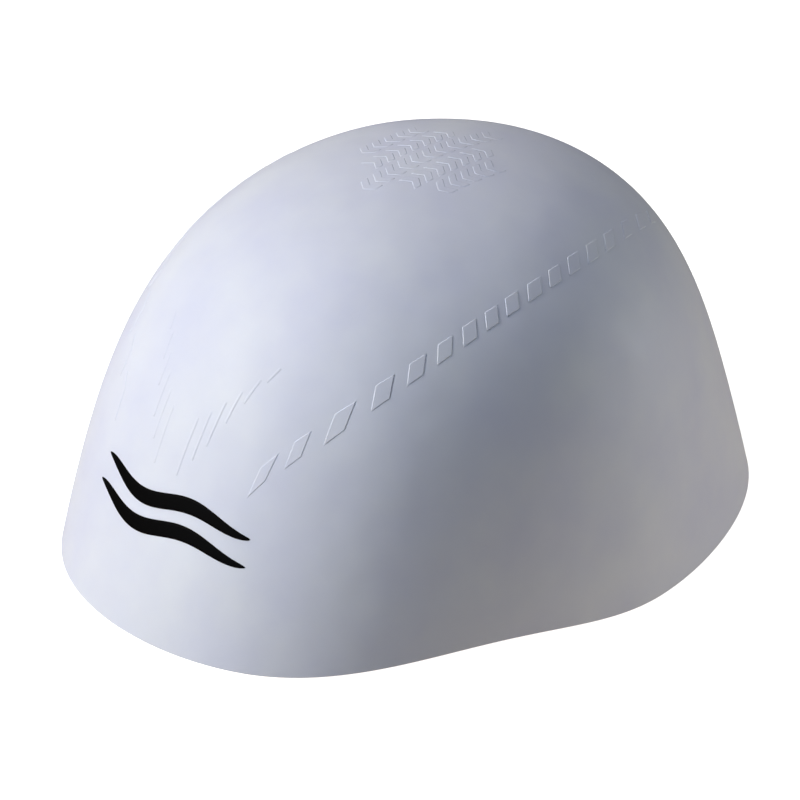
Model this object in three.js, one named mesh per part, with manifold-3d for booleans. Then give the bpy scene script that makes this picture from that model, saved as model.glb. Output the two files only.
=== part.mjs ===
// A dome-shaped racing swim cap, moulded in one piece of white silicone and open below.
// It stands on its rim: +Z is up, -Y is the forehead, +X is the wearer's left, and the
// origin is the middle of its footprint on the surface. All lengths are in millimetres.
import * as THREE from 'three';
import { mergeVertices } from 'three/addons/utils/BufferGeometryUtils.js';
import Module from 'manifold-3d';

// The dome's outside
const CAP_LENGTH = 200;
const CAP_WIDTH = 158.4;
const CAP_HEIGHT = 102.8;
const CROWN_SETBACK = 10.2;
const WALL = 1.2;

// The rim lies flat, but for one low arch over each ear
const EAR_RISE = 4.5;
const EAR_BEARING = 62;
const EAR_SPREAD = 41;

// How far the side tiles, the forehead's ridges and the crown's chevrons stand off the dome,
// and how deep the solids of all three are rooted in its wall
const TILE_RELIEF = 0.15;
const RIDGE_RELIEF = 0.1;
const CHEVRON_RELIEF = 0.1;
const RELIEF_ROOT = 0.6;

// The usual height of the slanted tiles in the row along each side
const SIDE_TILE_HEIGHT = 4.2;

// The width of the thin upright ridges that fan out over the forehead
const FAN_RIDGE_WIDTH = 0.6;

// The crown's herringbone is made of chevrons in columns that run from front to back.
// Each has two arms of this width across the cap, and its point lies ahead of or behind
// the ends of its arms by the drop. The thickness is measured from front to back.
const CHEVRON_ARM = 2.95;
const CHEVRON_DROP = 1.8;
const CHEVRON_THICKNESS = 2.2;
const CHEVRON_PITCH = 4.15;
const CHEVRON_COLUMN_PITCH = 7.55;

// The middle of the herringbone lies this far ahead of the top of the dome
const HERRINGBONE_LEAD = 5.6;

// The dome's form in vertical sections from the forehead (0 degrees) to the nape (180).
// reach: how far the rim goes out, as a share of the plain oval's radius there.
// lean: how the wall slopes in above the rim. shoulder: how full it is near the crown.
const SECTIONS = [
  { bearing: 0, reach: 1.0, lean: -0.325, shoulder: 0.444 },
  { bearing: 30, reach: 1.026, lean: -0.235, shoulder: 0.391 },
  { bearing: 60, reach: 0.999, lean: -0.08, shoulder: 0.318 },
  { bearing: 90, reach: 1.0, lean: -0.04, shoulder: 0.324 },
  { bearing: 120, reach: 0.986, lean: -0.134, shoulder: 0.352 },
  { bearing: 150, reach: 0.99, lean: -0.246, shoulder: 0.326 },
  { bearing: 180, reach: 1.0, lean: -0.289, shoulder: 0.296 },
];

// The side row's tiles from the forehead to the back of the crown.
// across and along: the tile's middle seen from above, as shares of half the width and length.
// length: along the row, height: across it, and slant: how far the tile's top lies behind its
// foot, all three as shares of the usual height.
const SIDE_TILES = [
  { across: 0.365, along: -0.758, length: 1.35, height: 0.8, slant: 1.54 },
  { across: 0.437, along: -0.691, length: 1.22, height: 0.95, slant: 1.34 },
  { across: 0.512, along: -0.604, length: 1.51, height: 1.1, slant: 1.53 },
  { across: 0.57, along: -0.502, length: 1.32, height: 1.08, slant: 1.07 },
  { across: 0.605, along: -0.415, length: 1.17, height: 0.97, slant: 0.88 },
  { across: 0.626, along: -0.336, length: 1.06, height: 0.95, slant: 0.75 },
  { across: 0.638, along: -0.262, length: 1.0, height: 0.98, slant: 0.68 },
  { across: 0.645, along: -0.193, length: 0.93, height: 0.95, slant: 0.63 },
  { across: 0.647, along: -0.126, length: 0.98, height: 0.95, slant: 0.63 },
  { across: 0.646, along: -0.05, length: 1.1, height: 0.92, slant: 0.7 },
  { across: 0.639, along: 0.024, length: 1.0, height: 0.92, slant: 0.73 },
  { across: 0.626, along: 0.098, length: 1.02, height: 0.98, slant: 0.8 },
  { across: 0.605, along: 0.178, length: 1.12, height: 1.0, slant: 0.92 },
  { across: 0.573, along: 0.262, length: 1.25, height: 0.95, slant: 1.06 },
  { across: 0.521, along: 0.362, length: 1.25, height: 0.95, slant: 1.16 },
  { across: 0.462, along: 0.456, length: 1.2, height: 0.95, slant: 1.16 },
  { across: 0.395, along: 0.545, length: 1.15, height: 0.95, slant: 1.15 },
];

// The fan's ridges on one side, from the one next to the middle outwards. The lower and the
// upper end of each, seen from above, are shares of half the width (across) and length (along).
const FAN_RIDGES = [
  { footAcross: 0.057, footAlong: -0.844, topAcross: 0.062, topAlong: -0.773 },
  { footAcross: 0.1, footAlong: -0.819, topAcross: 0.103, topAlong: -0.755 },
  { footAcross: 0.136, footAlong: -0.794, topAcross: 0.142, topAlong: -0.732 },
  { footAcross: 0.173, footAlong: -0.754, topAcross: 0.181, topAlong: -0.705 },
  { footAcross: 0.207, footAlong: -0.715, topAcross: 0.224, topAlong: -0.671 },
  { footAcross: 0.248, footAlong: -0.666, topAcross: 0.267, topAlong: -0.634 },
];

// The crown's columns from the middle outwards: how many chevrons each holds, and whether
// they point to the forehead (-1) or to the nape (1)
const CROWN_COLUMNS = [
  { chevrons: 11, point: -1 },
  { chevrons: 7, point: 1 },
  { chevrons: 5, point: -1 },
];

// How finely the dome and its tiles are faceted
const BEARINGS = 60;
const OUTER_RINGS = 22;
const INNER_RINGS = 14;
const TILE_SEGMENT = 6;

const { cos, sin, sqrt, PI } = Math;
const radians = THREE.MathUtils.degToRad;

// A smooth curve through one column of SECTIONS, the same to the left and the right
function sectionCurve(column) {
  const spans = SECTIONS.length - 1;
  const endWeight = (index) => (index === 0 || index === spans ? 0.5 : 1);
  const waves = SECTIONS.map((_, wave) => {
    const sum = SECTIONS.reduce((total, section, index) => (
      total + endWeight(index) * section[column] * cos(wave * radians(section.bearing))
    ), 0);
    return (2 / spans) * endWeight(wave) * sum;
  });
  return (bearing) => waves.reduce((total, size, wave) => total + size * cos(wave * bearing), 0);
}

const reachAt = sectionCurve('reach');
const leanAt = sectionCurve('lean');
const shoulderAt = sectionCurve('shoulder');

// The height of the rim above the surface, raised in an arch over each ear
function rimHeight(bearing) {
  const side = Math.abs(Math.atan2(sin(bearing), cos(bearing)));
  const offset = (side - radians(EAR_BEARING)) / radians(EAR_SPREAD);
  return EAR_RISE * cos(THREE.MathUtils.clamp(offset, -1, 1) * PI / 2) ** 2;
}

// The plan radius of the dome, inset millimetres inside its outside
function planRadius(bearing, rise, inset) {
  const halfLength = CAP_LENGTH / 2;
  const halfWidth = CAP_WIDTH / 2;
  const oval = halfLength * halfWidth / Math.hypot(halfWidth * cos(bearing), halfLength * sin(bearing));
  const form = 1 + leanAt(bearing) * rise + shoulderAt(bearing) * rise ** 2;
  return (oval * reachAt(bearing) - inset) * sqrt(Math.max(0, 1 - rise ** 2)) * form;
}

// A point of the dome: rise goes from 0 at the rim to 1 at the crown
function domePoint(bearing, rise, inset = 0) {
  const radius = planRadius(bearing, rise, inset);
  const foot = rimHeight(bearing);
  return new THREE.Vector3(
    radius * sin(bearing),
    -radius * cos(bearing) + CROWN_SETBACK * rise ** 2,
    foot + (CAP_HEIGHT - inset - foot) * rise,
  );
}

// The height of the dome's outside above the plan point (x, y). The span of possible rises is
// halved until no number is left between its ends.
function domeHeight(x, y) {
  const backAt = (rise) => y - CROWN_SETBACK * rise ** 2;
  let low = 0;
  let high = 1;
  let rise = (low + high) / 2;
  while (rise > low && rise < high) {
    const back = backAt(rise);
    if (planRadius(Math.atan2(x, -back), rise, 0) > Math.hypot(x, back)) low = rise;
    else high = rise;
    rise = (low + high) / 2;
  }
  return domePoint(Math.atan2(x, -backAt(rise)), rise).z;
}

// The point of the dome's outside above the plan point (x, y)
function seat(x, y) {
  return new THREE.Vector3(x, y, domeHeight(x, y));
}

// The direction square to the dome above (x, y), from its slope over a short step
function outwardAt(x, y) {
  const step = 0.5;
  const slopeX = (domeHeight(x + step, y) - domeHeight(x - step, y)) / (2 * step);
  const slopeY = (domeHeight(x, y + step) - domeHeight(x, y - step)) / (2 * step);
  return new THREE.Vector3(-slopeX, -slopeY, 1).normalize();
}

// A mesh's geometry from its corner coordinates and its triangles' corner numbers
function geometryOf(positions, triangles) {
  const geometry = new THREE.BufferGeometry();
  geometry.setAttribute('position', new THREE.Float32BufferAttribute(positions, 3));
  geometry.setIndex(triangles);
  return geometry;
}

// The plain shell: the outside, the inside one wall further in, and the rim between them
function shellGeometry() {
  const positions = [];
  const triangles = [];
  const addRings = (rings, inset) => {
    const first = positions.length / 3;
    for (let ring = 0; ring < rings; ring += 1) {
      const rise = sin((ring / rings) * PI / 2);
      for (let side = 0; side < BEARINGS; side += 1) {
        positions.push(...domePoint((side / BEARINGS) * 2 * PI, rise, inset));
      }
    }
    positions.push(...domePoint(0, 1, inset));
    return first;
  };
  const outer = addRings(OUTER_RINGS, 0);
  const inner = addRings(INNER_RINGS, WALL);
  const addQuad = (a, b, c, d) => triangles.push(a, b, c, a, c, d);
  const addDome = (first, rings, inward) => {
    for (let ring = 0; ring < rings; ring += 1) {
      for (let side = 0; side < BEARINGS; side += 1) {
        const next = (side + 1) % BEARINGS;
        const here = first + ring * BEARINGS;
        const above = here + BEARINGS;
        if (ring === rings - 1) {
          if (inward) triangles.push(here + next, here + side, above);
          else triangles.push(here + side, here + next, above);
        } else if (inward) addQuad(here + next, here + side, above + side, above + next);
        else addQuad(here + side, here + next, above + next, above + side);
      }
    }
  };
  addDome(outer, OUTER_RINGS, false);
  addDome(inner, INNER_RINGS, true);
  for (let side = 0; side < BEARINGS; side += 1) {
    const next = (side + 1) % BEARINGS;
    addQuad(outer + next, outer + side, inner + side, inner + next);
  }
  return geometryOf(positions, triangles);
}

// A plate that follows the dome and stands off it by its relief. Its stations run from one end
// to the other, and each gives the plan points at its left and its right side.
function plateGeometry(stations, relief) {
  const positions = [];
  const triangles = [];
  for (const sides of stations) {
    for (const place of sides) {
      const foot = seat(place.x, place.y);
      const outward = outwardAt(place.x, place.y);
      positions.push(...foot.clone().addScaledVector(outward, -RELIEF_ROOT));
      positions.push(...foot.clone().addScaledVector(outward, relief));
    }
  }
  // Each station holds left root, left top, right root and right top
  const addQuad = (a, b, c, d) => triangles.push(a, b, c, a, c, d);
  for (let station = 0; station < stations.length - 1; station += 1) {
    const near = station * 4;
    const far = near + 4;
    addQuad(near + 1, near + 3, far + 3, far + 1);
    addQuad(near + 2, near, far, far + 2);
    addQuad(near, near + 1, far + 1, far);
    addQuad(near + 3, near + 2, far + 2, far + 3);
  }
  const last = (stations.length - 1) * 4;
  addQuad(0, 2, 3, 1);
  addQuad(last + 2, last, last + 1, last + 3);
  return geometryOf(positions, triangles);
}

// A plate whose outline is a parallelogram round a centre on the dome: run goes along it from
// side to side, and climb goes up its sides. Its faces point outwards when run, climb and the
// outside make a right-handed set.
function tileGeometry(centre, run, climb, relief) {
  const outward = outwardAt(centre.x, centre.y);
  const across = run.clone().cross(climb).dot(outward) < 0 ? run.clone().negate() : run;
  const segments = Math.max(1, Math.ceil(climb.length() / TILE_SEGMENT));
  const stations = [];
  for (let station = 0; station <= segments; station += 1) {
    stations.push([-0.5, 0.5].map((side) => centre.clone()
      .addScaledVector(across, side)
      .addScaledVector(climb, station / segments - 0.5)));
  }
  return plateGeometry(stations, relief);
}

// The side row: each tile lies along the row's own direction and its sides lean back
function sideTiles(mirror) {
  const centres = SIDE_TILES.map((tile) => (
    seat(mirror * tile.across * CAP_WIDTH / 2, tile.along * CAP_LENGTH / 2)
  ));
  return SIDE_TILES.map((tile, index) => {
    const centre = centres[index];
    const ahead = centres[Math.min(index + 1, centres.length - 1)];
    const behind = centres[Math.max(index - 1, 0)];
    const row = ahead.clone().sub(behind).normalize();
    const up = outwardAt(centre.x, centre.y).cross(row).normalize().multiplyScalar(mirror);
    const run = row.clone().multiplyScalar(SIDE_TILE_HEIGHT * tile.length);
    const climb = up.multiplyScalar(SIDE_TILE_HEIGHT * tile.height)
      .addScaledVector(row, SIDE_TILE_HEIGHT * tile.slant);
    return tileGeometry(centre, run, climb, TILE_RELIEF);
  });
}

// The fan: thin upright ridges that get shorter and higher from the middle outwards
function fanRidges(mirror) {
  return FAN_RIDGES.map((ridge) => {
    const endAt = (across, along) => seat(mirror * across * CAP_WIDTH / 2, along * CAP_LENGTH / 2);
    const foot = endAt(ridge.footAcross, ridge.footAlong);
    const top = endAt(ridge.topAcross, ridge.topAlong);
    const centre = foot.clone().lerp(top, 0.5);
    const climb = top.sub(foot);
    const run = climb.clone().cross(outwardAt(centre.x, centre.y)).setLength(FAN_RIDGE_WIDTH);
    return tileGeometry(centre, run, climb, RIDGE_RELIEF);
  });
}

// A chevron on the crown round the plan point (x, y), from its left arm's end to its right's
function chevronGeometry(x, y, point) {
  const stations = [-1, 0, 1].map((arm) => {
    const middle = y + point * CHEVRON_DROP * (arm === 0 ? 0.5 : -0.5);
    return [1, -1].map((side) => (
      new THREE.Vector2(x + arm * CHEVRON_ARM, middle + side * CHEVRON_THICKNESS / 2)
    ));
  });
  return plateGeometry(stations, CHEVRON_RELIEF);
}

// The crown's herringbone: one column in the middle and the others on both sides of it
function crownChevrons() {
  const middle = CROWN_SETBACK - HERRINGBONE_LEAD;
  return CROWN_COLUMNS.flatMap((column, index) => {
    const places = index === 0 ? [0] : [-index, index];
    return places.flatMap((place) => Array.from({ length: column.chevrons }, (_, number) => {
      const y = middle + (number - (column.chevrons - 1) / 2) * CHEVRON_PITCH;
      return chevronGeometry(place * CHEVRON_COLUMN_PITCH, y, column.point);
    }));
  });
}

const wasm = await Module();
wasm.setup();

function solidOf(geometry) {
  const merged = mergeVertices(geometry);
  return new wasm.Manifold(new wasm.Mesh({
    numProp: 3,
    vertProperties: new Float32Array(merged.getAttribute('position').array),
    triVerts: new Uint32Array(merged.getIndex().array),
  }));
}

function geometryOfSolid(solid) {
  const { vertProperties, triVerts } = solid.getMesh();
  return geometryOf(vertProperties, Array.from(triVerts));
}

function capShell() {
  const sides = [-1, 1].flatMap((mirror) => [...sideTiles(mirror), ...fanRidges(mirror)]);
  let solid = solidOf(shellGeometry());
  for (const plate of [...sides, ...crownChevrons()]) solid = solid.add(solidOf(plate));
  const silicone = new THREE.MeshStandardMaterial({ color: 0xdfe2ea, roughness: 0.45, metalness: 0 });
  const mesh = new THREE.Mesh(geometryOfSolid(solid), silicone);
  mesh.name = 'cap_shell';
  return mesh;
}

const cap = new THREE.Group();
cap.add(capShell());

export default cap;
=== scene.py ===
"""A white silicone racing swim cap: its moulded surface, print, floor, lights and camera.

The cap's own frame is used: +Z is up, -Y is the forehead, +X is the wearer's left, and the
origin is the middle of its footprint. Lengths are in metres.
"""
import math

import bpy
import numpy as np
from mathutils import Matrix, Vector
from mathutils.geometry import delaunay_2d_cdt

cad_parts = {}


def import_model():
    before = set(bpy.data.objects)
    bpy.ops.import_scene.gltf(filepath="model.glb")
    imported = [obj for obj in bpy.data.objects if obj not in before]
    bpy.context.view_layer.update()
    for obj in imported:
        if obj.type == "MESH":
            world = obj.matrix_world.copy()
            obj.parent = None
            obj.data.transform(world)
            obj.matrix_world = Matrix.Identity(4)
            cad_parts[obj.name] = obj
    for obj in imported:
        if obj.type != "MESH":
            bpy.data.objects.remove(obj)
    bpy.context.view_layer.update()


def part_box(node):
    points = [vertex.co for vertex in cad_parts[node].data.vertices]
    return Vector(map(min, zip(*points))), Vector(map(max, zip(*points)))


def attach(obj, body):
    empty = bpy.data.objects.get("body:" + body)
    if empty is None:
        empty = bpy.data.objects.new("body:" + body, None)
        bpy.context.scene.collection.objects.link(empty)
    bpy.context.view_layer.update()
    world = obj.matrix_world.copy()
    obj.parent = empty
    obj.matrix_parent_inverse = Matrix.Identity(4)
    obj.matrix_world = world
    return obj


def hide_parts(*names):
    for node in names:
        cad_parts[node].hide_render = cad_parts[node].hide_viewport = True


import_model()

MM = 0.001

# The moulded relief: how far each pattern stands off, and half the width of its slopes
TILE_RELIEF = 0.15 * MM
RIDGE_RELIEF = 0.1 * MM
CHEVRON_RELIEF = 0.1 * MM
SLOPE_HALF = 0.11 * MM

# The dome's overall sizes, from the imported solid
_, SHELL_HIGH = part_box("cap_shell")
HALF_LENGTH = SHELL_HIGH.y
HALF_WIDTH = SHELL_HIGH.x
HEIGHT = SHELL_HIGH.z - CHEVRON_RELIEF
CROWN_SETBACK = 10.2 * MM
WALL = 1.2 * MM
EDGE_RADIUS = 0.3 * MM

# The rim's arch over each ear
EAR_RISE = 4.5 * MM
EAR_BEARING = math.radians(62)
EAR_SPREAD = math.radians(41)

# The dome's form, a value every 30 degrees of bearing from the forehead to the nape.
# reach: the rim's radius as a share of a plain oval's. lean: the wall's slope above the rim.
# shoulder: how full it is near the crown.
SECTIONS = {
    "reach": (1.0, 1.026, 0.999, 1.0, 0.986, 0.99, 1.0),
    "lean": (-0.325, -0.235, -0.08, -0.04, -0.134, -0.246, -0.289),
    "shoulder": (0.444, 0.391, 0.318, 0.324, 0.352, 0.326, 0.296),
}

# The row of slanted tiles along each side, from the forehead to the back of the crown.
# across and along: a tile's middle seen from above, as shares of half the width and length.
# length: along the row, height: across it, and slant: how far the tile's top lies behind its
# foot, all three as shares of the usual height.
SIDE_TILE_HEIGHT = 4.2 * MM
SIDE_TILES = np.array([
    (0.365, -0.758, 1.35, 0.80, 1.54),
    (0.437, -0.691, 1.22, 0.95, 1.34),
    (0.512, -0.604, 1.51, 1.10, 1.53),
    (0.570, -0.502, 1.32, 1.08, 1.07),
    (0.605, -0.415, 1.17, 0.97, 0.88),
    (0.626, -0.336, 1.06, 0.95, 0.75),
    (0.638, -0.262, 1.00, 0.98, 0.68),
    (0.645, -0.193, 0.93, 0.95, 0.63),
    (0.647, -0.126, 0.98, 0.95, 0.63),
    (0.646, -0.050, 1.10, 0.92, 0.70),
    (0.639, 0.024, 1.00, 0.92, 0.73),
    (0.626, 0.098, 1.02, 0.98, 0.80),
    (0.605, 0.178, 1.12, 1.00, 0.92),
    (0.573, 0.262, 1.25, 0.95, 1.06),
    (0.521, 0.362, 1.25, 0.95, 1.16),
    (0.462, 0.456, 1.20, 0.95, 1.16),
    (0.395, 0.545, 1.15, 0.95, 1.15),
], dtype=[(name, float) for name in ("across", "along", "length", "height", "slant")])

# The forehead's fan of upright ridges on one side, from the middle outwards: the lower and
# the upper end of each, as shares of half the width (across) and half the length (along)
FAN_RIDGE_WIDTH = 0.6 * MM
FAN_RIDGES = np.array([
    (0.057, -0.844, 0.062, -0.773),
    (0.100, -0.819, 0.103, -0.755),
    (0.136, -0.794, 0.142, -0.732),
    (0.173, -0.754, 0.181, -0.705),
    (0.207, -0.715, 0.224, -0.671),
    (0.248, -0.666, 0.267, -0.634),
], dtype=[(name, float) for name in ("foot_across", "foot_along", "top_across", "top_along")])

# The crown's herringbone: columns of chevrons, from the middle one outwards. A point of -1
# is towards the forehead and 1 towards the nape.
CROWN_COLUMNS = np.array([
    (11, -1),
    (7, 1),
    (5, -1),
], dtype=[(name, int) for name in ("chevrons", "point")])
CHEVRON_ARM = 2.95 * MM
CHEVRON_DROP = 1.8 * MM
CHEVRON_THICKNESS = 2.2 * MM
CHEVRON_PITCH = 4.15 * MM
CHEVRON_COLUMN_PITCH = 7.55 * MM
HERRINGBONE_LEAD = 5.6 * MM

# How finely the surface is meshed. LATTICE is the pitch of its points on a dome whose curve is
# about MERIDIAN long from the crown to the rim. RELIEF_RINGS are a plate's rings, as offsets from
# its outline in shares of its slopes' half width. EDGE_MARGIN, a share of the pitch, keeps the
# points off the rim, and PLATE_MARGIN off the rings. No plate reaches past PLATE_REACH.
LATTICE = 2.0 * MM
MERIDIAN = 140 * MM
EDGE_MARGIN = 0.6
PLATE_REACH = 16 * MM
PLATE_MARGIN = 0.3 * MM
RELIEF_STEP = 1.2 * MM
RELIEF_RINGS = (1.6, 1, 0.5, 0, -0.5, -1, -1.6)
MERGE_DISTANCE = 1e-6
BEARINGS = 288
INNER_RINGS = 60
EDGE_STEPS = 4

# The search for a place on the dome, and the step that its slope is measured over
HALVINGS = 40
SLOPE_STEP = 1e-4


def section_curve(values):
    """A smooth curve over the bearing through evenly spaced values, mirrored left to right."""
    spans = len(values) - 1
    weight = np.ones(spans + 1)
    weight[[0, -1]] = 0.5
    bearings = np.linspace(0, np.pi, spans + 1)
    waves = [
        2 / spans * weight[wave] * np.sum(weight * values * np.cos(wave * bearings))
        for wave in range(spans + 1)
    ]
    return lambda bearing: sum(size * np.cos(wave * bearing) for wave, size in enumerate(waves))


reach_at, lean_at, shoulder_at = (section_curve(SECTIONS[name]) for name in SECTIONS)


def rim_height(bearing):
    """How high the rim stands over the floor."""
    side = np.abs(np.arctan2(np.sin(bearing), np.cos(bearing)))
    offset = np.clip((side - EAR_BEARING) / EAR_SPREAD, -1, 1)
    return EAR_RISE * np.cos(offset * np.pi / 2) ** 2


def plan_radius(bearing, rise, inset=0.0):
    """The dome's radius seen from above; rise goes from 0 at the rim to 1 at the crown."""
    oval = HALF_LENGTH * HALF_WIDTH / np.hypot(HALF_WIDTH * np.cos(bearing), HALF_LENGTH * np.sin(bearing))
    form = 1 + lean_at(bearing) * rise + shoulder_at(bearing) * rise ** 2
    return (oval * reach_at(bearing) - inset) * np.sqrt(np.maximum(0, 1 - rise ** 2)) * form


def dome_points(disk, inset=0.0):
    """Points of the dome for places on a unit disk, whose middle is the crown and edge the rim."""
    bearing = np.arctan2(disk[:, 0], -disk[:, 1])
    rise = np.cos(np.hypot(disk[:, 0], disk[:, 1]) * np.pi / 2)
    radius = plan_radius(bearing, rise, inset)
    foot = rim_height(bearing)
    return np.stack([
        radius * np.sin(bearing),
        -radius * np.cos(bearing) + CROWN_SETBACK * rise ** 2,
        foot + (HEIGHT - inset - foot) * rise,
    ], axis=1)


def unit(vectors):
    return vectors / np.linalg.norm(vectors, axis=-1, keepdims=True)


def outward(disk):
    """The directions square to the dome at places on the disk."""
    across = dome_points(disk + (SLOPE_STEP, 0)) - dome_points(disk - (SLOPE_STEP, 0))
    along = dome_points(disk + (0, SLOPE_STEP)) - dome_points(disk - (0, SLOPE_STEP))
    return unit(np.cross(across, along))


def disk_under(plan):
    """The places on the disk whose points of the dome lie over these plan points."""
    low = np.zeros(len(plan))
    high = np.ones(len(plan))
    for _ in range(HALVINGS):
        rise = (low + high) / 2
        back = plan[:, 1] - CROWN_SETBACK * rise ** 2
        bearing = np.arctan2(plan[:, 0], -back)
        inside = plan_radius(bearing, rise) > np.hypot(plan[:, 0], back)
        low = np.where(inside, rise, low)
        high = np.where(inside, high, rise)
    share = np.arccos(rise) * 2 / np.pi
    return np.stack([share * np.sin(bearing), -share * np.cos(bearing)], axis=1)


def seat(x, y):
    """The dome's point over one plan point."""
    return dome_points(disk_under(np.array([[x, y]])))[0]


def outward_over(x, y):
    return outward(disk_under(np.array([[x, y]])))[0]


def turned_left(vectors):
    """Each of these plane vectors, a quarter turn further on."""
    return np.stack([-vectors[:, 1], vectors[:, 0]], axis=1)


class Plate:
    """A raised plate on the dome. Its outline is worked out in a plane that touches the dome."""

    def __init__(self, corners, relief):
        self.relief = relief
        plan = np.array(corners)
        middle = disk_under(plan.mean(axis=0)[None])
        self.centre = dome_points(middle)[0]
        normal = outward(middle)[0]
        run = unit(np.cross((0, 1, 0), normal))
        self.axes = np.stack([run, np.cross(normal, run)])
        corners = self.to_plane(plan)
        sides = np.roll(corners, -1, axis=0) - corners
        if np.sum(corners * turned_left(sides)) > 0:
            corners = corners[::-1]
            sides = np.roll(corners, -1, axis=0) - corners
        self.corners = corners
        self.sides = sides
        normals = -turned_left(unit(sides))
        before = np.roll(normals, 1, axis=0)
        meeting = 1 + np.sum(before * normals, axis=1, keepdims=True)
        self.outline, self.spread, self.facing = self.trace(normals, (before + normals) / meeting)

    def to_plane(self, points):
        return (points[:, :2] - self.centre[:2]) @ np.linalg.inv(self.axes[:, :2])

    def trace(self, normals, mitres):
        """Points round the outline, how each moves as it grows, and which way it faces."""
        outline, spread, facing = [], [], []
        for number, side in enumerate(self.sides):
            after = mitres[(number + 1) % len(mitres)]
            steps = math.ceil(np.linalg.norm(side) / RELIEF_STEP)
            for share in np.arange(steps) / steps:
                outline.append(self.corners[number] + side * share)
                spread.append(mitres[number] * (1 - share) + after * share)
                facing.append(normals[number] if share else unit(mitres[number]))
        return np.array(outline), np.array(spread), np.array(facing)

    def ring(self, offset):
        """The disk's places of the outline grown by an offset."""
        plane = self.outline + offset * self.spread
        return disk_under((self.centre + plane @ self.axes)[:, :2])

    def distance(self, points):
        """How far points of the dome are from the outline, and which of them are inside."""
        place = self.to_plane(points)[:, None]
        start = self.corners[None]
        share = np.sum((place - start) * self.sides, axis=2) / np.sum(self.sides ** 2, axis=1)
        nearest = start + np.clip(share, 0, 1)[..., None] * self.sides
        distance = np.linalg.norm(place - nearest, axis=2).min(axis=1)
        end = start + self.sides
        spans = (start[..., 1] > place[..., 1]) != (end[..., 1] > place[..., 1])
        rise = np.where(self.sides[:, 1] == 0, 1, self.sides[:, 1])
        crossing = start[..., 0] + (place[..., 1] - start[..., 1]) * self.sides[:, 0] / rise
        inside = np.sum(spans & (crossing > place[..., 0]), axis=1) % 2 == 1
        return distance, inside


def parallelogram(centre, run, climb):
    """The plan corners of a parallelogram round a centre."""
    return [(centre + run * a + climb * b)[:2] for a, b in ((-.5, -.5), (.5, -.5), (.5, .5), (-.5, .5))]


def side_tiles(mirror):
    centres = [
        seat(mirror * tile["across"] * HALF_WIDTH, tile["along"] * HALF_LENGTH)
        for tile in SIDE_TILES
    ]
    for index, tile in enumerate(SIDE_TILES):
        centre = centres[index]
        row = unit(centres[min(index + 1, len(centres) - 1)] - centres[max(index - 1, 0)])
        up = mirror * unit(np.cross(outward_over(centre[0], centre[1]), row))
        climb = SIDE_TILE_HEIGHT * (up * tile["height"] + row * tile["slant"])
        run = SIDE_TILE_HEIGHT * tile["length"] * row
        yield Plate(parallelogram(centre, run, climb), TILE_RELIEF)


def fan_ridges(mirror):
    for ridge in FAN_RIDGES:
        foot = seat(mirror * ridge["foot_across"] * HALF_WIDTH, ridge["foot_along"] * HALF_LENGTH)
        top = seat(mirror * ridge["top_across"] * HALF_WIDTH, ridge["top_along"] * HALF_LENGTH)
        centre = (foot + top) / 2
        run = unit(np.cross(top - foot, outward_over(centre[0], centre[1]))) * FAN_RIDGE_WIDTH
        yield Plate(parallelogram(centre, run, top - foot), RIDGE_RELIEF)


def crown_chevrons():
    middle = CROWN_SETBACK - HERRINGBONE_LEAD
    for index, column in enumerate(CROWN_COLUMNS):
        for place in sorted({-index, index}):
            x = place * CHEVRON_COLUMN_PITCH
            for number in range(column["chevrons"]):
                y = middle + (number - (column["chevrons"] - 1) / 2) * CHEVRON_PITCH
                tip = y + column["point"] * CHEVRON_DROP / 2
                ends = y - column["point"] * CHEVRON_DROP / 2
                half = CHEVRON_THICKNESS / 2
                front = [(x - CHEVRON_ARM, ends - half), (x, tip - half), (x + CHEVRON_ARM, ends - half)]
                back = [(x + CHEVRON_ARM, ends + half), (x, tip + half), (x - CHEVRON_ARM, ends + half)]
                yield Plate(front + back, CHEVRON_RELIEF)


def relief_profile(offset, relief):
    """A plate's height and its slope at a distance outside its nominal outline."""
    t = min(max((SLOPE_HALF - offset) / (2 * SLOPE_HALF), 0), 1)
    return relief * t * t * (3 - 2 * t), relief * 6 * t * (1 - t) / (2 * SLOPE_HALF)


def lattice(edge):
    """Evenly spaced places over the disk, staggered in rows, inside the share edge."""
    step = LATTICE / MERIDIAN
    places = []
    for number, row in enumerate(np.arange(-1, 1, step * math.sqrt(3) / 2)):
        along = np.arange(-1 + step / 2 * (number % 2), 1, step)
        places.append(np.stack([along, np.full_like(along, row)], axis=1))
    places = np.concatenate(places)
    return places[np.hypot(places[:, 0], places[:, 1]) < edge - EDGE_MARGIN * step]


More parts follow.
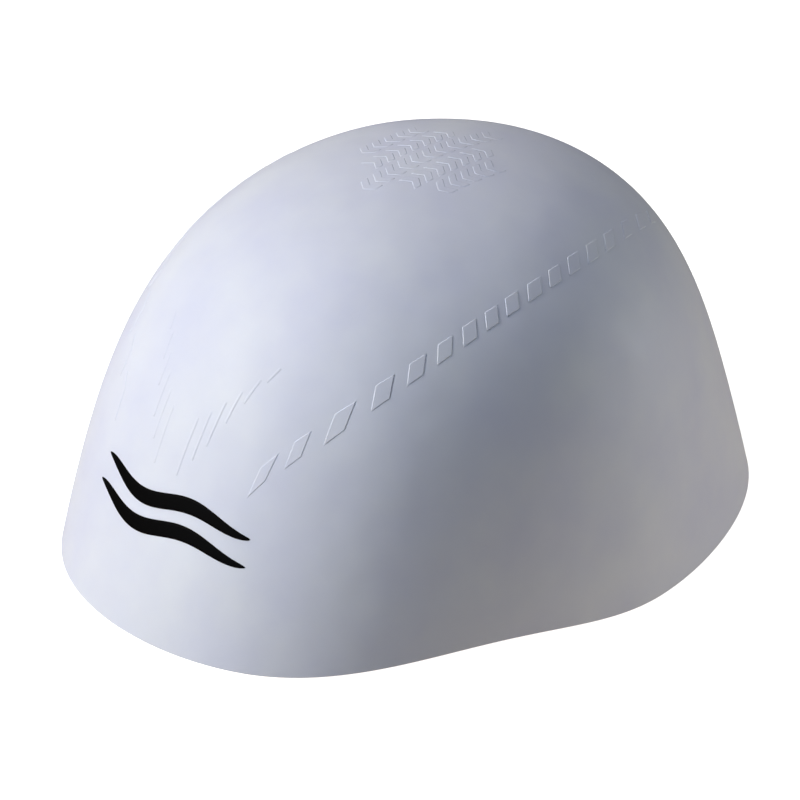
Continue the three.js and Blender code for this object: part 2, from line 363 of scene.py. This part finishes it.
def outer_surface(plates, edge):
    """The outside as positions, directions, triangles and the numbers of its edge's points.

    Its flat pattern on the disk holds a lattice, the relief's outlines and the rim's circle.
    """
    rounds = np.arange(BEARINGS) * 2 * np.pi / BEARINGS
    field = lattice(edge)
    points = dome_points(field)
    height = np.zeros(len(field))
    keep = np.ones(len(field), bool)
    margin = RELIEF_RINGS[0] * SLOPE_HALF + PLATE_MARGIN
    for plate in plates:
        near = np.flatnonzero(np.linalg.norm(points - plate.centre, axis=1) < PLATE_REACH)
        distance, inside = plate.distance(points[near])
        keep[near[distance < margin]] = False
        height[near[inside]] = plate.relief
    places = [edge * np.stack([np.sin(rounds), -np.cos(rounds)], axis=1), field[keep]]
    heights = [np.zeros(BEARINGS), height[keep]]
    tilts = [np.zeros((BEARINGS, 3)), np.zeros((keep.sum(), 3))]
    first = BEARINGS + keep.sum()
    edges = [(k, (k + 1) % BEARINGS) for k in range(BEARINGS)]
    for plate in plates:
        count = len(plate.outline)
        for share in RELIEF_RINGS:
            rise, slope = relief_profile(share * SLOPE_HALF, plate.relief)
            places.append(plate.ring(share * SLOPE_HALF))
            heights.append(np.full(count, rise))
            tilts.append(slope * plate.facing @ plate.axes)
            edges += [(first + k, first + (k + 1) % count) for k in range(count)]
            first += count
    places, heights, tilts = (np.concatenate(part) for part in (places, heights, tilts))
    flat = [Vector(place) for place in places / LATTICE * MERIDIAN]
    _, _, faces, origins, _, _ = delaunay_2d_cdt(flat, edges, [], 0, MERGE_DISTANCE)
    source = np.array([origin[0] for origin in origins])
    places, heights, tilts = places[source], heights[source], tilts[source]
    normals = outward(places)
    tilts -= normals * np.sum(tilts * normals, axis=1, keepdims=True)
    positions = dome_points(places) + normals * heights[:, None]
    number_of = {origin: number for number, origin in enumerate(source)}
    border = [number_of[k] for k in range(BEARINGS)]
    return positions, unit(normals + tilts), [tuple(face) for face in faces], border


def ring_of(rise, inset, lift=0.0):
    """One level ring of the wall, at a share of the height and an inset from the outside."""
    bearing = np.arange(BEARINGS) * 2 * np.pi / BEARINGS
    radius = plan_radius(bearing, rise, inset)
    foot = rim_height(bearing)
    return np.stack([
        radius * np.sin(bearing),
        -radius * np.cos(bearing) + CROWN_SETBACK * rise ** 2,
        foot + (HEIGHT - inset - foot) * rise + lift,
    ], axis=1)


def rim_and_inside():
    """Rings from the outside's edge round the rim and up the inside."""
    rings = []
    for step in range(1, EDGE_STEPS + 1):
        angle = step / EDGE_STEPS * math.pi / 2
        rings.append(ring_of(0, EDGE_RADIUS * (1 - math.cos(angle)), EDGE_RADIUS * (1 - math.sin(angle))))
    for step in range(EDGE_STEPS, -1, -1):
        angle = step / EDGE_STEPS * math.pi / 2
        inset = WALL - EDGE_RADIUS * (1 - math.cos(angle))
        rings.append(ring_of(0, inset, EDGE_RADIUS * (1 - math.sin(angle))))
    for step in range(1, INNER_RINGS):
        rings.append(ring_of(math.sin(step / INNER_RINGS * math.pi / 2), WALL))
    return rings


def silicone_shell():
    """The whole cap as one mesh: the outside with its relief, the rim and the inside."""
    plates = [*crown_chevrons()]
    for mirror in (-1, 1):
        plates += [*side_tiles(mirror), *fan_ridges(mirror)]
    edge = 1 - math.asin(EDGE_RADIUS / HEIGHT) * 2 / math.pi
    positions, normals, faces, border = outer_surface(plates, edge)
    outer_count = len(positions)
    rings = rim_and_inside()
    top = np.array([[0, CROWN_SETBACK, HEIGHT - WALL]])
    positions = np.concatenate([positions, *rings, top])
    previous = border
    for number in range(len(rings)):
        ring = [outer_count + number * BEARINGS + k for k in range(BEARINGS)]
        for k in range(BEARINGS):
            after = (k + 1) % BEARINGS
            faces.append((previous[k], ring[k], ring[after], previous[after]))
        previous = ring
    for k in range(BEARINGS):
        faces.append((previous[k], len(positions) - 1, previous[(k + 1) % BEARINGS]))
    mesh = bpy.data.meshes.new("silicone_cap")
    mesh.from_pydata(positions.tolist(), [], faces)
    mesh.shade_smooth()
    directions = np.array([vertex.normal for vertex in mesh.vertices])
    directions[:outer_count] = normals
    mesh.normals_split_custom_set_from_vertices(directions.tolist())
    return add_object(mesh)


def add_object(data):
    piece = bpy.data.objects.new(data.name, data)
    bpy.context.scene.collection.objects.link(piece)
    return piece


# The printed mark: two wavy bands on the forehead, whose ends taper
MARK_HEIGHTS = (34.5 * MM, 27.7 * MM)
MARK_MIDDLE = 4 * MM
MARK_HALF_LENGTH = 32 * MM
MARK_WAVES = 1.5
MARK_SWING = 1.5 * MM
MARK_BAND = 4.0 * MM
MARK_TAPER = 0.6
MARK_COLUMNS = 120
MARK_ROWS = 6
INK = 0.05 * MM


def wave_band(height):
    """One closed wavy band of ink, as a grid of positions for its top and its underside."""
    share = np.linspace(-1, 1, MARK_COLUMNS + 1)
    middle = MARK_SWING * np.sin(share * np.pi * MARK_WAVES)
    width = MARK_BAND / 2 * (1 - share ** 2) ** MARK_TAPER
    places = []
    for row in np.linspace(-1, 1, MARK_ROWS + 1):
        level = height + middle + row * width
        bearing = (MARK_MIDDLE + share * MARK_HALF_LENGTH) / HALF_LENGTH
        foot = rim_height(bearing)
        rise = (level - foot) / (HEIGHT - foot)
        part = np.arccos(rise) * 2 / np.pi
        places.append(np.stack([part * np.sin(bearing), -part * np.cos(bearing)], axis=1))
    return np.concatenate(places)


def printed_mark():
    columns = MARK_COLUMNS + 1
    rows = MARK_ROWS + 1
    positions = []
    faces = []
    for height in MARK_HEIGHTS:
        disk = wave_band(height)
        points, normals = dome_points(disk), outward(disk)
        top = sum(len(part) for part in positions)
        under = top + columns * rows
        positions += [points + normals * INK, points - normals * INK]
        for row in range(MARK_ROWS):
            for column in range(MARK_COLUMNS):
                a = row * columns + column
                corners = (a, a + 1, a + 1 + columns, a + columns)
                faces.append(tuple(top + corner for corner in corners))
                faces.append(tuple(under + corner for corner in reversed(corners)))
        border = list(range(columns))
        border += [row * columns + MARK_COLUMNS for row in range(1, rows)]
        border += [MARK_ROWS * columns + column for column in range(MARK_COLUMNS - 1, -1, -1)]
        border += [row * columns for row in range(MARK_ROWS - 1, 0, -1)]
        for here, after in zip(border, border[1:] + border[:1]):
            faces.append((top + after, top + here, under + here, under + after))
    mesh = bpy.data.meshes.new("forehead_print")
    mesh.from_pydata(np.concatenate(positions).tolist(), [], faces)
    mesh.shade_smooth()
    return add_object(mesh)


# The silicone's clouds of colour, spots of sheen, slow waves and fine grain
CLOUD_SIZE = 24 * MM
SHEEN_SIZE = 9 * MM
WAVE_SIZE = 30 * MM
WAVE_DEPTH = 0.9 * MM
GRAIN_SIZE = 0.35 * MM
GRAIN_DEPTH = 0.008 * MM

# The ink's speckle
SPECKLE_SIZE = 0.5 * MM
SPECKLE_DEPTH = 0.006 * MM

# Where most of a noise pattern's values lie
NOISE_SPAN = (0.3, 0.7)


def new_material(name):
    material = bpy.data.materials.new(name)
    material.use_nodes = True
    return material, material.node_tree.nodes, material.node_tree.links


def noise(nodes, links, coordinates, size, detail):
    """A noise pattern whose blobs are about size across."""
    node = nodes.new("ShaderNodeTexNoise")
    node.inputs["Scale"].default_value = 1 / size
    node.inputs["Detail"].default_value = detail
    links.new(coordinates.outputs["Object"], node.inputs["Vector"])
    return node.outputs["Fac"]


def ranged(nodes, links, value, low, high):
    """A noise pattern's values, spread from low to high."""
    node = nodes.new("ShaderNodeMapRange")
    node.inputs["From Min"].default_value = NOISE_SPAN[0]
    node.inputs["From Max"].default_value = NOISE_SPAN[1]
    node.inputs["To Min"].default_value = low
    node.inputs["To Max"].default_value = high
    links.new(value, node.inputs["Value"])
    return node.outputs["Result"]


def blended(nodes, links, factor, first, second):
    """A colour between two colours, by a factor from 0 to 1."""
    node = nodes.new("ShaderNodeMix")
    node.data_type = "RGBA"
    node.inputs["A"].default_value = (*first, 1)
    node.inputs["B"].default_value = (*second, 1)
    links.new(factor, node.inputs["Factor"])
    return node.outputs["Result"]


def bump(nodes, links, height, distance, normal=None):
    node = nodes.new("ShaderNodeBump")
    node.inputs["Distance"].default_value = distance
    links.new(height, node.inputs["Height"])
    if normal:
        links.new(normal, node.inputs["Normal"])
    return node.outputs["Normal"]


def silicone_material():
    """Satin white silicone: faint clouds in the colour, a fine moulded grain, slow waves."""
    material, nodes, links = new_material("satin_silicone")
    shader = nodes["Principled BSDF"]
    coordinates = nodes.new("ShaderNodeTexCoord")
    clouds = ranged(nodes, links, noise(nodes, links, coordinates, CLOUD_SIZE, 4), 0, 1)
    colour = blended(nodes, links, clouds, (0.66, 0.705, 0.835), (0.73, 0.78, 0.855))
    links.new(colour, shader.inputs["Base Color"])
    sheen = noise(nodes, links, coordinates, SHEEN_SIZE, 4)
    links.new(ranged(nodes, links, sheen, 0.52, 0.62), shader.inputs["Roughness"])
    waves = bump(nodes, links, noise(nodes, links, coordinates, WAVE_SIZE, 2), WAVE_DEPTH)
    grain = noise(nodes, links, coordinates, GRAIN_SIZE, 2)
    links.new(bump(nodes, links, grain, GRAIN_DEPTH, waves), shader.inputs["Normal"])
    shader.inputs["IOR"].default_value = 1.41
    shader.inputs["Subsurface Weight"].default_value = 0.15
    shader.inputs["Subsurface Radius"].default_value = (1.0, 0.9, 0.8)
    shader.inputs["Subsurface Scale"].default_value = 0.8 * MM
    return material


def ink_material():
    """Matte black printing ink with the faint unevenness of a pad print."""
    material, nodes, links = new_material("black_ink")
    shader = nodes["Principled BSDF"]
    coordinates = nodes.new("ShaderNodeTexCoord")
    speckle = noise(nodes, links, coordinates, SPECKLE_SIZE, 3)
    factor = ranged(nodes, links, speckle, 0, 1)
    colour = blended(nodes, links, factor, (0.0006, 0.0006, 0.0008), (0.0018, 0.0018, 0.0022))
    links.new(colour, shader.inputs["Base Color"])
    links.new(ranged(nodes, links, speckle, 0.5, 0.62), shader.inputs["Roughness"])
    links.new(bump(nodes, links, speckle, SPECKLE_DEPTH), shader.inputs["Normal"])
    shader.inputs["Specular IOR Level"].default_value = 0.03
    return material


# The white sweep: a round floor that curves up into a wall all round
FLOOR_RADIUS = 2.6
SWEEP_RADIUS = 0.6
WALL_HEIGHT = 3.5
SWEEP_SIDES = 96
SWEEP_STEPS = 8
FLOOR_GLOW = 1.0


def floor():
    """A plain white floor and backdrop, as bright all over as well lit paper.

    It is there for the camera alone: the light that it sends back is the world's.
    """
    curve = np.linspace(0, np.pi / 2, SWEEP_STEPS + 1)
    radii = [*(FLOOR_RADIUS + SWEEP_RADIUS * np.sin(curve)), FLOOR_RADIUS + SWEEP_RADIUS]
    heights = [*(SWEEP_RADIUS * (1 - np.cos(curve))), WALL_HEIGHT]
    positions = [(0, 0, 0)]
    faces = []
    for ring, (radius, height) in enumerate(zip(radii, heights)):
        first = 1 + ring * SWEEP_SIDES
        for side in range(SWEEP_SIDES):
            angle = side / SWEEP_SIDES * 2 * math.pi
            positions.append((radius * math.cos(angle), radius * math.sin(angle), height))
            after = (side + 1) % SWEEP_SIDES
            if ring:
                below = first - SWEEP_SIDES
                faces.append((below + side, below + after, first + after, first + side))
            else:
                faces.append((0, first + side, first + after))
    mesh = bpy.data.meshes.new("floor")
    mesh.from_pydata(positions, [], faces)
    mesh.shade_smooth()
    piece = add_object(mesh)
    piece.visible_diffuse = False
    piece.visible_glossy = False
    piece.visible_shadow = False
    material, nodes, _ = new_material("white_floor")
    shader = nodes["Principled BSDF"]
    shader.inputs["Base Color"].default_value = (0.8, 0.8, 0.8, 1)
    shader.inputs["Roughness"].default_value = 0.9
    shader.inputs["Specular IOR Level"].default_value = 0.1
    shader.inputs["Emission Color"].default_value = (1, 1, 1, 1)
    shader.inputs["Emission Strength"].default_value = FLOOR_GLOW
    mesh.materials.append(material)


# The photograph's viewpoint
CAMERA_AIM = Vector((2.7, -8.0, 36.0)) * MM
CAMERA_AZIMUTH = math.radians(49.27)
CAMERA_ELEVATION = math.radians(27.64)
CAMERA_DISTANCE = 1.2
CAMERA_LENS = 204.6


def bearing_from(azimuth, elevation):
    """The direction towards a viewer at that azimuth and elevation."""
    return Vector((
        math.sin(azimuth) * math.cos(elevation),
        -math.cos(azimuth) * math.cos(elevation),
        math.sin(elevation),
    ))


def camera():
    data = bpy.data.cameras.new("camera")
    data.lens = CAMERA_LENS
    data.sensor_width = 36
    data.clip_end = 50
    piece = add_object(data)
    back = bearing_from(CAMERA_AZIMUTH, CAMERA_ELEVATION)
    piece.location = CAMERA_AIM + back * CAMERA_DISTANCE
    piece.rotation_euler = (-back).to_track_quat("-Z", "Y").to_euler()
    bpy.context.scene.camera = piece


# Each soft light: azimuth and elevation in degrees, distance and size in metres, power, colour
LIGHTS = {
    "key": (-35, 30, 1.4, 0.3, 8.2, (1.0, 0.93, 0.72)),
    "overhead": (-50, 50, 1.4, 0.8, 9.6, (0.94, 0.89, 1.0)),
    "low_key": (-15, 12, 1.4, 0.3, 5.8, (0.8, 0.86, 1.0)),
    "fill": (49, 30, 1.4, 0.8, 2.7, (0.63, 0.8, 1.0)),
    "back": (150, 9, 1.4, 0.4, 6.2, (1.0, 0.99, 0.98)),
    "rear": (-131, 3, 1.4, 0.6, 0.3, (0.8, 0.9, 1.0)),
}
# The studio's light from below, as the white table sends it up, the colour above it, and the
# heights that the one fades into the other between, from -1 straight below to 1 straight above
BOUNCE = (0.75, 0.59, 0.45)
AMBIENT = (0.0, 0.0, 0.0)
FADE = (-0.5, -0.2)


def lights():
    for name, (azimuth, elevation, distance, size, power, colour) in LIGHTS.items():
        data = bpy.data.lights.new(name, "AREA")
        data.shape = "DISK"
        data.size = size
        data.energy = power
        data.color = colour
        piece = add_object(data)
        back = bearing_from(math.radians(azimuth), math.radians(elevation))
        piece.location = CAMERA_AIM + back * distance
        piece.rotation_euler = (-back).to_track_quat("-Z", "Y").to_euler()


def world():
    """A studio that is lit from below and dark above."""
    data = bpy.data.worlds.new("studio")
    data.use_nodes = True
    nodes, links = data.node_tree.nodes, data.node_tree.links
    direction = nodes.new("ShaderNodeTexCoord")
    split = nodes.new("ShaderNodeSeparateXYZ")
    links.new(direction.outputs["Generated"], split.inputs["Vector"])
    height = nodes.new("ShaderNodeMapRange")
    height.inputs["From Min"].default_value = FADE[0]
    height.inputs["From Max"].default_value = FADE[1]
    links.new(split.outputs["Z"], height.inputs["Value"])
    colour = blended(nodes, links, height.outputs["Result"], BOUNCE, AMBIENT)
    links.new(colour, nodes["Background"].inputs["Color"])
    bpy.context.scene.world = data


def dress():
    cap = silicone_shell()
    cap.data.materials.append(silicone_material())
    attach(cap, "root")
    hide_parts("cap_shell")
    mark = printed_mark()
    mark.data.materials.append(ink_material())
    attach(mark, "root")


floor()
camera()
lights()
world()
dress()
bpy.context.scene.view_settings.view_transform = "Standard"
